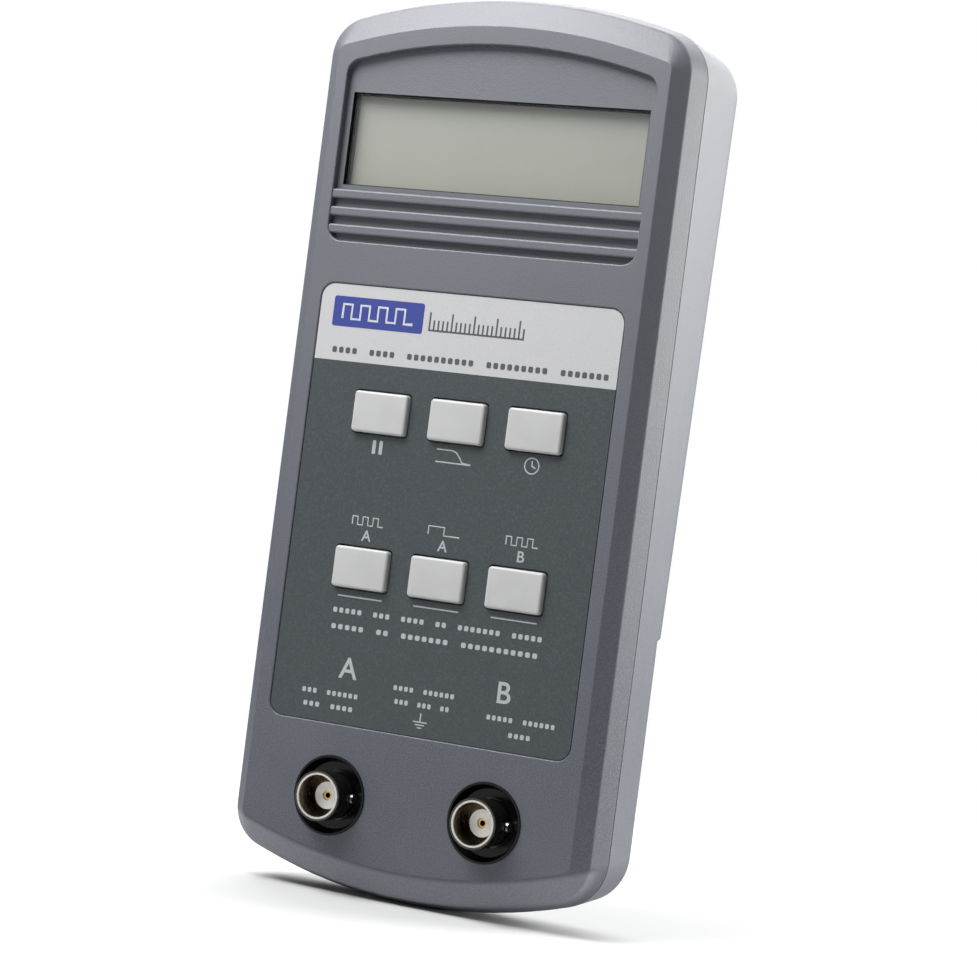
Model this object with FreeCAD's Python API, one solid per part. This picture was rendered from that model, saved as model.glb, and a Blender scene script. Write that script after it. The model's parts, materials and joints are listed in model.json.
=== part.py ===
import FreeCAD, Part
import math
import os

# Hand-held frequency counter, standing on its lower end: +Z runs up the case to the
# display end, the face looks towards -Y and +X is on the reader's right.
# A depth is measured in millimetres from the flat of the face towards the back.

CASE_WIDTH = 81.0
CASE_LENGTH = 176.0
PARTING_DEPTH = 7.0        # where the two half shells meet
PARTING_GAP = 0.25
WALL = 2.0
SOCKET_RISE = 4.8          # socket rim in front of the face
BACK_DEPTH_TOP = 29.5      # back of the bulge at the top of the case
BULGE_SLOPE = 0.045        # the bulge gets thinner towards the step
LOWER_DEPTH = 22.7         # flat back below the step
STEP_HEIGHT = 56.0
BACK_EDGE_ROUND = 6.0
REAR_DRAFT = 0.068         # sideways lean of the rear case per unit of depth
FACE_Y = SOCKET_RISE - (BACK_DEPTH_TOP + SOCKET_RISE) / 2 + 0.16

# Face and bevel outlines: half width, lower end, upper end, corner radius
FACE_OUTLINE = (35.9, 6.5, 169.7, 1.4)
BEVEL_OUTLINE = (38.8, 1.4, 175.0, 8.0)
BEVEL_DEPTH = 2.6
CORNER_RADIUS = 10.0
LOWER_ARC = 110.0
UPPER_ARC = 121.0

# Display recess, window and ribs
RECESS_HALF = 33.4
RECESS_LOW = 126.1
RECESS_HIGH = 166.1
RECESS_DEPTH = 1.5
WINDOW_HALF = 32.1
WINDOW_LOW = 137.3
WINDOW_HIGH = 155.6
FRONT_SKIN = 2.6           # depth of the front wall's inner side
RIB_PITCH = 3.45
RIB_TALL = 1.85
RIB_CREST = 0.25            # depth of the rib crests
RIB_ROUND = 0.45
EDGE_SOFT = 0.3             # small round on the edges of the sunk areas

# Keypad panel and keys
PANEL_HALF = 32.9
PANEL_LOW = 32.6
PANEL_HIGH = 117.9
PANEL_CORNER = 3.0
PANEL_SINK = 0.5
KEY_WIDE = 11.8
KEY_TALL = 8.0
KEY_PITCH = 16.8
KEY_SHIFT = 0.6            # the key columns sit a little to the right of centre
KEY_ROWS = (93.4, 63.1)
KEY_RISE = 0.9
KEY_GAP = 0.35
KEY_FLANGE = 0.8

# Electronics
LCD_FRONT = 3.45
LCD_HALF = 33.2
BOARD_FRONT = 6.0
BOARD_THICK = 1.6
BOARD_HALF = 34.0
BOARD_LOW = 31.0
BOARD_HIGH = 163.0

# Input sockets
SOCKET_X = 16.95
SOCKET_Z = 18.8
COLLAR_RADIUS = 7.8
BARREL_RADIUS = 4.85
BARREL_BORE = 4.06
INSULATOR_RADIUS = 2.65
INSULATOR_SINK = 4.0       # insulator face below the socket rim

# Battery, its compartment and its door
BATTERY_LONG = 46.2
BATTERY_TALL = 26.3
BATTERY_THICK = 17.4
BATTERY_FRONT = 8.6
BAY_HALF = 26.3
BAY_LOW = 137.6
BAY_HIGH = 165.0
BAY_FLOOR = 7.8
BAY_WALL = 1.2
DOOR_HALF = 27.4
DOOR_LOW = 134.6
DOOR_WRAP_DEPTH = 18.0     # the door folds over the top end as far as this depth
DOOR_THICK = 1.8
DOOR_GAP = 0.25
TONGUE_LOW = DOOR_LOW + 3.0
TONGUE_LENGTH = 28.0
TONGUE_WIDE = 3.0
TONGUE_THICK = 1.1
TONGUE_TOP = 2.25          # tongue below the back face, just under the case wall

SCREWS = ((-31.5, 12.5), (31.5, 12.5), (-33.0, 163.5), (33.0, 163.5))


def vec(x, depth, z):
    """Point from a sideways place, a depth behind the face and a height."""
    return FreeCAD.Vector(x, FACE_Y + depth, z)


def block(x0, x1, d0, d1, z0, z1):
    """Box between two sideways places, two depths and two heights."""
    return Part.makeBox(x1 - x0, d1 - d0, z1 - z0, vec(x0, d0, z0))


def rod(x, z, radius, d0, d1):
    """Round rod that runs from front to back."""
    return Part.makeCylinder(radius, d1 - d0, vec(x, d0, z), FreeCAD.Vector(0, 1, 0))


def tube(x, z, outer, inner, d0, d1):
    """Round tube that runs from front to back."""
    return rod(x, z, outer, d0, d1).cut(rod(x, z, inner, d0 - 1, d1 + 1))


def rounded_block(cx, cz, wide, tall, radius, d0, d1):
    """Box with rounded upright corners as seen from the front."""
    solid = block(cx - wide / 2, cx + wide / 2, d0, d1, cz - tall / 2, cz + tall / 2)
    edges = [e for e in solid.Edges if abs(e.tangentAt(e.FirstParameter).y) > 0.99]
    return solid.makeFillet(radius, edges)


def arched_wire(half, low, high, corner, depth, lower_arc=LOWER_ARC, upper_arc=UPPER_ARC):
    """Outline with straight sides, arched ends and rounded corners, at one depth."""
    def corner_points(side, end, arc):
        centre_z = high - arc if end > 0 else low + arc
        fx = half - corner
        fz = math.sqrt((arc - corner) ** 2 - fx ** 2)
        start = vec(side * half, depth, centre_z + end * fz)
        reach = arc / (arc - corner)
        finish = vec(side * fx * reach, depth, centre_z + end * fz * reach)
        bend = math.atan2(fz, fx) / 2
        middle = vec(
            side * (fx + corner * math.cos(bend)),
            depth,
            centre_z + end * (fz + corner * math.sin(bend)),
        )
        return start, middle, finish

    tr = corner_points(1, 1, upper_arc)
    tl = corner_points(-1, 1, upper_arc)
    bl = corner_points(-1, -1, lower_arc)
    br = corner_points(1, -1, lower_arc)
    edges = [
        Part.LineSegment(br[0], tr[0]).toShape(),
        Part.Arc(tr[0], tr[1], tr[2]).toShape(),
        Part.Arc(tr[2], vec(0, depth, high), tl[2]).toShape(),
        Part.Arc(tl[2], tl[1], tl[0]).toShape(),
        Part.LineSegment(tl[0], bl[0]).toShape(),
        Part.Arc(bl[0], bl[1], bl[2]).toShape(),
        Part.Arc(bl[2], vec(0, depth, low), br[2]).toShape(),
        Part.Arc(br[2], br[1], br[0]).toShape(),
    ]
    return Part.Wire(edges)


def parting_wire(inset, depth):
    """Case outline at the parting line, drawn in by an inset."""
    return arched_wire(
        CASE_WIDTH / 2 - inset,
        inset,
        CASE_LENGTH - inset,
        CORNER_RADIUS - inset * 0.6,
        depth,
    )


def back_depth(z):
    """Depth of the bulge's back face at a height."""
    return BACK_DEPTH_TOP - (CASE_LENGTH - z) * BULGE_SLOPE


def front_hull(inset, face_depth):
    """Closed outer or inner form of the front case."""
    half, low, high, corner = FACE_OUTLINE
    face = arched_wire(half - inset, low + inset, high - inset, corner, face_depth)
    half, low, high, corner = BEVEL_OUTLINE
    bevel = arched_wire(half - inset, low + inset, high - inset, corner, BEVEL_DEPTH + face_depth)
    rim = parting_wire(inset, PARTING_DEPTH - PARTING_GAP / 2 + (0.5 if inset else 0))
    return Part.makeLoft([face, bevel, rim], True, True)


def edges_near_depth(shape, test):
    """Edges whose middle point passes a test on x, depth and z."""
    found = []
    for edge in shape.Edges:
        middle = edge.valueAt((edge.FirstParameter + edge.LastParameter) / 2)
        if test(middle.x, middle.y - FACE_Y, middle.z):
            found.append(edge)
    return found


def bulge_slab(inset, front):
    """Wide slab between one depth and the bulge's sloping back, above the step."""
    foot = STEP_HEIGHT + inset
    high = CASE_LENGTH + 10
    sketch = [
        vec(-60, front, foot),
        vec(-60, back_depth(foot) - inset, foot),
        vec(-60, back_depth(high) - inset, high),
        vec(-60, front, high),
    ]
    return Part.Face(Part.makePolygon(sketch + [sketch[0]])).extrude(FreeCAD.Vector(120, 0, 0))


def soften_rim(shell, half, low, high):
    """Round the face edge of a sunk area that lies between two heights."""
    spare = 0.1
    rim = edges_near_depth(
        shell,
        lambda x, d, z: abs(d) < 0.01 and abs(x) < half + spare and low - spare < z < high + spare,
    )
    return shell.makeFillet(EDGE_SOFT, rim)


def rear_form(inset):
    """Closed form of the rear case: the lower flat part and the sloping bulge."""
    start = PARTING_DEPTH + PARTING_GAP / 2 - (0.5 if inset else 0)
    far = BACK_DEPTH_TOP + 4
    lean = REAR_DRAFT * (far - start)
    body = Part.makeLoft([parting_wire(inset, start), parting_wire(inset + lean, far)], True, True)
    edge_round = BACK_EDGE_ROUND - inset * 0.9
    lower = body.common(block(-60, 60, 0, LOWER_DEPTH - inset, -10, CASE_LENGTH + 10))
    rim = edges_near_depth(lower, lambda x, d, z: abs(d - LOWER_DEPTH + inset) < 0.01)
    lower = lower.makeFillet(edge_round, rim)
    bulge = body.common(bulge_slab(inset, LOWER_DEPTH - 9))
    rim = edges_near_depth(
        bulge,
        lambda x, d, z: abs(d - back_depth(z) + inset) < 0.01 and z > STEP_HEIGHT + inset + 0.5,
    )
    bulge = bulge.makeFillet(edge_round, rim)
    foot = edges_near_depth(
        bulge,
        lambda x, d, z: abs(d - back_depth(z) + inset) < 0.3 and abs(z - STEP_HEIGHT - inset) < 0.01,
    )
    if foot and not inset:
        bulge = bulge.makeChamfer(1.2, foot)
    return lower.fuse(bulge).removeSplitter()


def front_case():
    """Front half shell with its recess, ribs, key holes and screw bosses."""
    outer = front_hull(0, 0)
    soft = edges_near_depth(outer, lambda x, d, z: abs(d) < 0.01)
    outer = outer.makeFillet(0.5, soft)
    soft = edges_near_depth(outer, lambda x, d, z: abs(d - BEVEL_DEPTH) < 0.01)
    outer = outer.makeFillet(1.2, soft)
    shell = outer.cut(front_hull(WALL, FRONT_SKIN))
    recess = arched_wire(RECESS_HALF, RECESS_LOW, RECESS_HIGH, 3.0, -1, 9000.0, UPPER_ARC - 3)
    recess = Part.Face(recess).extrude(FreeCAD.Vector(0, 1 + RECESS_DEPTH, 0))
    shell = shell.cut(recess)
    shell = soften_rim(shell, RECESS_HALF, RECESS_LOW, RECESS_HIGH)
    shell = shell.fuse(ribs())
    window = block(-WINDOW_HALF, WINDOW_HALF, -1, 4, WINDOW_LOW, WINDOW_HIGH)
    shell = shell.cut(window)
    panel = rounded_block(
        0,
        (PANEL_LOW + PANEL_HIGH) / 2,
        2 * PANEL_HALF,
        PANEL_HIGH - PANEL_LOW,
        PANEL_CORNER,
        -1,
        PANEL_SINK,
    )
    shell = shell.cut(panel)
    shell = soften_rim(shell, PANEL_HALF, PANEL_LOW, PANEL_HIGH)
    for x, z in key_places():
        hole = rounded_block(x, z, KEY_WIDE + 2 * KEY_GAP, KEY_TALL + 2 * KEY_GAP, 0.8, -2, 6)
        shell = shell.cut(hole)
    for side in (-1, 1):
        shell = shell.cut(rod(side * SOCKET_X, SOCKET_Z, COLLAR_RADIUS, -2, 6))
        seat = tube(side * SOCKET_X, SOCKET_Z, COLLAR_RADIUS + 1.2, 5.0, FRONT_SKIN, 4.6)
        seat = seat.cut(rod(side * SOCKET_X, SOCKET_Z, COLLAR_RADIUS, 0, 3.6))
        shell = shell.fuse(seat)
    for x, z in SCREWS:
        boss = rod(x, z, 3.2, FRONT_SKIN - 0.5, 9.0).common(front_hull(0.5, 0.5).fuse(rear_form(1.0)))
        shell = shell.fuse(boss).cut(rod(x, z, 1.2, 3.2, 10))
    return shell.fuse([lip()] + board_posts())


def lip():
    """Thin wall inside the front rim that reaches into the rear case and closes the joint."""
    outer = Part.Face(parting_wire(WALL + 0.25, PARTING_DEPTH - 1.8))
    inner = Part.Face(parting_wire(WALL + 1.2, PARTING_DEPTH - 1.8))
    return outer.cut(inner).extrude(FreeCAD.Vector(0, 3.4, 0))


def ribs():
    """Three louvre ribs with rounded crests across the recess below the window."""
    pieces = []
    floor = RECESS_DEPTH + 0.2
    corner = RIB_ROUND * (1 - math.sqrt(0.5))
    for count in range(3):
        top = WINDOW_LOW - 1.0 - count * RIB_PITCH
        low = top - RIB_TALL
        edges = [
            Part.LineSegment(
                rib_point(floor, top), rib_point(RIB_CREST + RIB_ROUND, top)
            ).toShape(),
            Part.Arc(
                rib_point(RIB_CREST + RIB_ROUND, top),
                rib_point(RIB_CREST + corner, top - corner),
                rib_point(RIB_CREST, top - RIB_ROUND),
            ).toShape(),
            Part.LineSegment(
                rib_point(RIB_CREST, top - RIB_ROUND), rib_point(RIB_CREST, low + RIB_ROUND)
            ).toShape(),
            Part.Arc(
                rib_point(RIB_CREST, low + RIB_ROUND),
                rib_point(RIB_CREST + corner, low + corner),
                rib_point(RIB_CREST + RIB_ROUND, low),
            ).toShape(),
            Part.LineSegment(
                rib_point(RIB_CREST + RIB_ROUND, low), rib_point(floor, low)
            ).toShape(),
            Part.LineSegment(rib_point(floor, low), rib_point(floor, top)).toShape(),
        ]
        face = Part.Face(Part.Wire(edges))
        pieces.append(face.extrude(FreeCAD.Vector(2 * RECESS_HALF, 0, 0)))
    return pieces[0].multiFuse(pieces[1:])


def rib_point(depth, z):
    """Point of a rib's profile at the left wall of the recess."""
    return vec(-RECESS_HALF, depth, z)


def door_frame_tools(gap):
    """Block that the battery door fills in the rear case, drawn in by a gap."""
    return block(
        -DOOR_HALF + gap,
        DOOR_HALF - gap,
        DOOR_WRAP_DEPTH + gap,
        BACK_DEPTH_TOP + 8,
        DOOR_LOW + gap,
        CASE_LENGTH + 8,
    )


def rear_case():
    """Rear half shell with the battery bay and the screw columns."""
    outer = rear_form(0)
    shell = outer.cut(rear_form(WALL))
    bay_outer = block(
        -BAY_HALF - BAY_WALL,
        BAY_HALF + BAY_WALL,
        BAY_FLOOR,
        BACK_DEPTH_TOP + 5,
        BAY_LOW - BAY_WALL,
        BAY_HIGH + BAY_WALL,
    )
    bay_inner = block(-BAY_HALF, BAY_HALF, BAY_FLOOR + 0.6, BACK_DEPTH_TOP + 6, BAY_LOW, BAY_HIGH)
    bay = bay_outer.cut(bay_inner).common(bulge_slab(DOOR_THICK + 2.4, 0))
    ledge = block(-DOOR_HALF - 1, DOOR_HALF + 1, 15.4, 16.6, BAY_HIGH, CASE_LENGTH)
    ledge = ledge.common(rear_form(WALL - 0.5))
    shell = shell.cut(door_frame_tools(0)).fuse([bay, ledge])
    for side in (-1, 1):
        slot = tongue_bar(
            side,
            TONGUE_WIDE + 0.5,
            TONGUE_THICK + 0.4,
            DOOR_HALF - 0.4,
            TONGUE_TOP - 0.2,
            CASE_LENGTH - TONGUE_LOW,
        )
        shell = shell.cut(slot)
    for x, z in SCREWS:
        column = rod(x, z, 4.2, 9.1, BACK_DEPTH_TOP + 4).common(rear_form(0.5))
        shell = shell.fuse(column)
        shell = shell.cut(rod(x, z, 1.7, 8, BACK_DEPTH_TOP + 5))
        shell = shell.cut(rod(x, z, 3.1, 13.5, BACK_DEPTH_TOP + 5))
    return shell


def tongue_bar(side, wide, thick, middle, top, extra):
    """Bar along the door's slide path, a distance under the back face of the bulge."""
    length = TONGUE_LENGTH + extra
    bar = Part.makeBox(wide, thick, length, FreeCAD.Vector(-wide / 2, 0, 0))
    lift = math.degrees(math.atan(BULGE_SLOPE))
    bar.rotate(FreeCAD.Vector(0, 0, 0), FreeCAD.Vector(1, 0, 0), -lift)
    bar.translate(vec(side * middle, back_depth(TONGUE_LOW) - top - thick, TONGUE_LOW))
    return bar


def battery_door():
    """Sliding door that wraps over the top end, with a tongue along each side."""
    panel = rear_form(0).cut(rear_form(DOOR_THICK)).common(door_frame_tools(DOOR_GAP))
    for side in (-1, 1):
        tongue = tongue_bar(side, TONGUE_WIDE, TONGUE_THICK, DOOR_HALF - 0.4, TONGUE_TOP, 0)
        web = tongue_bar(side, 1.2, TONGUE_TOP, DOOR_HALF - 1.5, DOOR_THICK - 0.5, 0)
        panel = panel.fuse([tongue, web])
    for count in range(4):
        groove_z = DOOR_LOW + 7 + count * 2.4
        groove = Part.makeCylinder(
            0.6, 22, vec(-11, back_depth(groove_z) + 0.25, groove_z), FreeCAD.Vector(1, 0, 0)
        )
        panel = panel.cut(groove)
    return panel


def door_pad():
    """Foam strip on the inside of the door that holds the battery still."""
    z0, z1 = BAY_LOW + 6, BAY_HIGH - 6
    deep = back_depth(z0) - DOOR_THICK
    return block(-12, 12, BATTERY_FRONT + BATTERY_THICK + 0.1, deep - 0.02, z0, z1)


def key_places():
    """Centres of the six keys, upper row first, left to right."""
    return [(KEY_SHIFT + column * KEY_PITCH, z) for z in KEY_ROWS for column in (-1, 0, 1)]


def keycap(x, z):
    """Key with soft edges, a retaining flange and a stem over its switch."""
    cap = rounded_block(x, z, KEY_WIDE, KEY_TALL, 0.7, -KEY_RISE, FRONT_SKIN + 0.3)
    front = edges_near_depth(cap, lambda px, d, pz: abs(d + KEY_RISE) < 0.01)
    cap = cap.makeFillet(0.4, front)
    cap = cap.cut(block(x - 4.8, x + 4.8, 0.4, 4, z - 2.9, z + 2.9))
    flange = block(
        x - KEY_WIDE / 2 - KEY_FLANGE,
        x + KEY_WIDE / 2 + KEY_FLANGE,
        FRONT_SKIN + 0.05,
        FRONT_SKIN + 0.75,
        z - KEY_TALL / 2 - KEY_FLANGE,
        z + KEY_TALL / 2 + KEY_FLANGE,
    )
    flange = flange.cut(block(x - 4.8, x + 4.8, 0, 4, z - 3.3, z + 3.3))
    stem = rod(x, z, 1.6, 0.3, 0.9)
    return cap.fuse([flange, stem])


def switch_plunger(x, z):
    """Round plunger that the key presses into its switch."""
    return rod(x, z, 1.5, 0.92, 4.6)


def switch_bodies():
    """Six square push switches on the board, each with a bore for its plunger."""
    bodies = []
    for x, z in key_places():
        shell = block(x - 3, x + 3, 3.55, BOARD_FRONT, z - 3, z + 3)
        bodies.append(shell.cut(rod(x, z, 1.56, 3, 5.3)))
    return Part.makeCompound(bodies)


def display_window():
    """Clear window behind the front wall."""
    return block(
        -WINDOW_HALF - 1.2,
        WINDOW_HALF + 0.6,
        FRONT_SKIN,
        FRONT_SKIN + 0.8,
        WINDOW_LOW - 1.2,
        WINDOW_HIGH + 1.2,
    )


def lcd_glass():
    """Reflective liquid crystal display."""
    return block(
        -LCD_HALF, LCD_HALF, LCD_FRONT + 0.3, LCD_FRONT + 2.3, WINDOW_LOW - 2.2, WINDOW_HIGH + 2.0
    )


def lcd_bezel():
    """Black frame that holds the display to the board."""
    frame = block(
        -LCD_HALF - 1.2, LCD_HALF + 1.2, LCD_FRONT, BOARD_FRONT, WINDOW_LOW - 4.4, WINDOW_HIGH + 3.4
    )
    frame = frame.cut(block(-31.6, 31.6, 0, 9, WINDOW_LOW + 0.4, WINDOW_HIGH - 0.4))
    seat = block(-LCD_HALF, LCD_HALF, LCD_FRONT + 0.3, 9, WINDOW_LOW - 2.2, WINDOW_HIGH + 2.0)
    return frame.cut(seat)


def lcd_pins():
    """Two rows of display pins that reach the board."""
    pins = []
    for z in (WINDOW_LOW - 1.4, WINDOW_HIGH + 1.2):
        for count in range(20):
            x = -24.13 + count * 2.54
            pins.append(block(x - 0.2, x + 0.2, LCD_FRONT + 2.3, BOARD_FRONT, z - 0.2, z + 0.2))
    return Part.makeCompound(pins)


def front_label():
    """Printed label in the sunk panel, with holes for the keys."""
    sheet = rounded_block(
        0,
        (PANEL_LOW + PANEL_HIGH) / 2,
        2 * PANEL_HALF - 0.3,
        PANEL_HIGH - PANEL_LOW - 0.3,
        PANEL_CORNER - 0.15,
        0.2,
        PANEL_SINK,
    )
    for x, z in key_places():
        sheet = sheet.cut(
            rounded_block(x, z, KEY_WIDE + 2 * KEY_GAP, KEY_TALL + 2 * KEY_GAP, 0.8, -2, 6)
        )
    return sheet


def main_pcb():
    """Main board, notched round the upper screw bosses."""
    board = block(
        -BOARD_HALF, BOARD_HALF, BOARD_FRONT, BOARD_FRONT + BOARD_THICK, BOARD_LOW, BOARD_HIGH
    )
    for x, z in SCREWS:
        board = board.cut(rod(x, z, 3.8, 0, 20))
    for x, z in board_screw_places():
        board = board.cut(rod(x, z, 1.6, 0, 20))
    return board


def board_screw_places():
    """Screws that hold the board to the front case."""
    return [(-30.5, 50.0), (30.5, 50.0), (-30.5, 121.0), (30.5, 121.0)]


def board_posts():
    """Posts inside the front case that the board rests on."""
    posts = []
    for x, z in board_screw_places():
        posts.append(tube(x, z, 2.8, 1.0, FRONT_SKIN - 0.2, BOARD_FRONT))
    return posts


def pan_screw(x, z, shank, head, seat, tip, head_tall):
    """Pan-head screw driven from the back towards the face."""
    screw = rod(x, z, shank, tip, seat)
    cap = rod(x, z, head, seat, seat + head_tall)
    rim = edges_near_depth(cap, lambda px, d, pz: abs(d - seat - head_tall) < 0.01)
    cap = cap.makeFillet(head_tall * 0.4, rim)
    cross = block(x - head * 0.6, x + head * 0.6, seat + head_tall * 0.4, 60, z - 0.3, z + 0.3)
    cross = cross.fuse(
        block(x - 0.3, x + 0.3, seat + head_tall * 0.4, 60, z - head * 0.6, z + head * 0.6)
    )
    return screw.fuse(cap).cut(cross)


def case_screws():
    """Four long screws that join the two half shells."""
    return Part.makeCompound([pan_screw(x, z, 1.2, 2.8, 13.5, 4.0, 2.0) for x, z in SCREWS])


def board_screws():
    """Four short screws that hold the board."""
    back = BOARD_FRONT + BOARD_THICK
    places = board_screw_places()
    return Part.makeCompound([pan_screw(x, z, 1.0, 2.4, back, 3.0, 1.5) for x, z in places])


def shield_can():
    """Tinned lid over the input amplifiers."""
    back = BOARD_FRONT + BOARD_THICK
    can = block(-24, 24, back, back + 6, 38, 56)
    upright = [e for e in can.Edges if abs(e.tangentAt(e.FirstParameter).y) > 0.99]
    can = can.makeFillet(1.0, upright)
    return can.cut(block(-23.6, 23.6, back - 1, back + 5.6, 38.4, 55.6))


def crystal_can():
    """Reference crystal in a low oval can, lying on the board."""
    back = BOARD_FRONT + BOARD_THICK
    body = rounded_block(22, 106, 11.2, 4.8, 2.3, back, back + 10)
    foot = rounded_block(22, 106, 12.6, 5.8, 2.8, back, back + 0.6)
    return body.fuse(foot)


def chip(cx, cz, side, tall, legs):
    """Flat square chip with a row of legs on each edge."""
    back = BOARD_FRONT + BOARD_THICK
    parts = [block(cx - side / 2, cx + side / 2, back + 0.15, back + tall, cz - side / 2, cz + side / 2)]
    pitch = side / (legs + 1)
    for count in range(legs):
        along = -side / 2 + (count + 1) * pitch
        for sign in (-1, 1):
            edge = sign * side / 2
            far = edge + sign * 1.2
            low, high = min(edge, far), max(edge, far)
            parts.append(
                block(cx + along - 0.2, cx + along + 0.2, back, back + 0.4, cz + low, cz + high)
            )
            parts.append(
                block(cx + low, cx + high, back, back + 0.4, cz + along - 0.2, cz + along + 0.2)
            )
    return parts[0].multiFuse(parts[1:])


def capacitors():
    """Three upright electrolytic capacitors."""
    back = BOARD_FRONT + BOARD_THICK
    return Part.makeCompound([rod(x, 126, 3.2, back, back + 8) for x in (-20, -11, -2)])


def power_regulator():
    """Small flat-tab voltage regulator."""
    back = BOARD_FRONT + BOARD_THICK
    body = block(9, 19, back + 1.4, back + 5.8, 121, 130)
    tab = block(9, 19, back, back + 1.4, 121, 134.5)
    return body.fuse(tab)


def socket_body(x):
    """Input socket: bayonet barrel with two lugs, a flange and a threaded bush."""
    rim = -SOCKET_RISE
    barrel = tube(x, SOCKET_Z, BARREL_RADIUS, BARREL_BORE, rim, 3.0)
    relief = tube(x, SOCKET_Z, BARREL_RADIUS + 1, BARREL_RADIUS - 0.3, rim + 3.8, 3.0)
    barrel = barrel.cut(relief)
    flange = tube(x, SOCKET_Z, 6.4, BARREL_BORE, 3.0, 3.6)
    bush = tube(x, SOCKET_Z, 4.7, 3.2, 3.6, 10.5)
    parts = [flange, bush, tube(x, SOCKET_Z, BARREL_BORE + 0.1, INSULATOR_RADIUS, 2.0, 3.6)]
    for turn in (0, 180):
        lug = Part.makeCylinder(
            0.95,
            1.4,
            vec(x + BARREL_RADIUS - 0.9, rim + 5.1, SOCKET_Z),
            FreeCAD.Vector(1, 0, 0),
        )
        lug.rotate(vec(x, 0, SOCKET_Z), FreeCAD.Vector(0, 1, 0), turn)
        parts.append(lug)
    return barrel.fuse(parts)


def socket_insulator(x):
    """White insulator with a hole for the centre contact."""
    nose = rod(x, SOCKET_Z, INSULATOR_RADIUS, INSULATOR_SINK - SOCKET_RISE, 3.6)
    base = rod(x, SOCKET_Z, 3.2, 3.6, 10.5)
    return nose.fuse(base).cut(rod(x, SOCKET_Z, 1.0, -9, 12))


def socket_contact(x):
    """Centre contact with a blind bore for the plug's pin."""
    pin = rod(x, SOCKET_Z, 1.0, INSULATOR_SINK - SOCKET_RISE + 0.3, 13.0)
    return pin.cut(rod(x, SOCKET_Z, 0.55, -9, 6))


def socket_collar(x):
    """Black dished collar round the socket."""
    dish = Part.makeCone(
        COLLAR_RADIUS - 0.45, 6.5, 2.2, vec(x, -0.25, SOCKET_Z), FreeCAD.Vector(0, 1, 0)
    )
    collar = rod(x, SOCKET_Z, COLLAR_RADIUS - 0.05, -0.25, 3.0)
    return collar.cut(dish).cut(rod(x, SOCKET_Z, BARREL_RADIUS + 0.05, -2, 5))


def socket_nuts():
    """Hexagon nuts behind the front case."""
    nuts = []
    for side in (-1, 1):
        corners = []
        for count in range(7):
            turn = math.radians(60 * count)
            corners.append(
                vec(side * SOCKET_X + 7.2 * math.cos(turn), 5.4, SOCKET_Z + 7.2 * math.sin(turn))
            )
        nut = Part.Face(Part.makePolygon(corners)).extrude(FreeCAD.Vector(0, 2.4, 0))
        nuts.append(nut.cut(rod(side * SOCKET_X, SOCKET_Z, 4.7, 0, 12)))
    return Part.makeCompound(nuts)


def socket_washers():
    """Solder-tag washers under the nuts."""
    washers = []
    for side in (-1, 1):
        ring = tube(side * SOCKET_X, SOCKET_Z, 6.8, 4.7, 4.6, 5.4)
        tag = block(side * SOCKET_X - 1.2, side * SOCKET_X + 1.2, 4.6, 5.4, 25.0, 29.5)
        washers.append(ring.fuse(tag))
    return Part.makeCompound(washers)


def input_links():
    """Stiff wires from the centre contacts to the board."""
    links = []
    back = BOARD_FRONT + BOARD_THICK
    for side in (-1, 1):
        x = side * SOCKET_X
        bend = 1.6
        depth = 12.0
        top = 33.5
        path = [
            Part.LineSegment(vec(x, depth, SOCKET_Z + 1.0), vec(x, depth, top - bend)).toShape(),
            Part.Arc(
                vec(x, depth, top - bend),
                vec(x, depth - bend * (1 - math.sqrt(0.5)), top - bend * (1 - math.sqrt(0.5))),
                vec(x, depth - bend, top),
            ).toShape(),
            Part.LineSegment(vec(x, depth - bend, top), vec(x, back, top)).toShape(),
        ]
        ring = Part.Wire(
            Part.Circle(vec(x, depth, SOCKET_Z + 1.0), FreeCAD.Vector(0, 0, 1), 0.45).toShape()
        )
        links.append(Part.Wire(path).makePipeShell([ring], True, False))
    return Part.makeCompound(links)


def battery():
    """Nine-volt block battery lying across the case, with its two terminals."""
    x1 = BAY_HALF - 4.3
    x0 = x1 - BATTERY_LONG
    z0 = (BAY_LOW + BAY_HIGH - BATTERY_TALL) / 2
    body = block(x0, x1, BATTERY_FRONT, BATTERY_FRONT + BATTERY_THICK, z0, z0 + BATTERY_TALL)
    body = body.makeFillet(1.8, [e for e in body.Edges if abs(e.tangentAt(0).x) > 0.99])
    parts = []
    for sign in (-1, 1):
        z = z0 + BATTERY_TALL / 2 + sign * 6.35
        middle = vec(x1, BATTERY_FRONT + BATTERY_THICK / 2, z)
        parts.append(Part.makeCylinder(2.9 + sign * 0.4, 2.3, middle, FreeCAD.Vector(1, 0, 0)))
    return body.fuse(parts)


def terminal_board():
    """Insulating plate at the end of the bay that carries the battery contacts."""
    mid = (BAY_LOW + BAY_HIGH) / 2
    return block(BAY_HALF - 1.5, BAY_HALF - 0.1, 9.0, 24.0, mid - 12.5, mid + 12.5)


def terminal_studs():
    """Two plated contacts that touch the battery terminals."""
    mid = (BAY_LOW + BAY_HIGH) / 2
    studs = []
    for sign in (-1, 1):
        place = vec(BAY_HALF - 1.98, BATTERY_FRONT + BATTERY_THICK / 2, mid + sign * 6.35)
        studs.append(Part.makeCylinder(3.0 + sign * 0.4, 0.48, place, FreeCAD.Vector(1, 0, 0)))
    return Part.makeCompound(studs)


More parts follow.
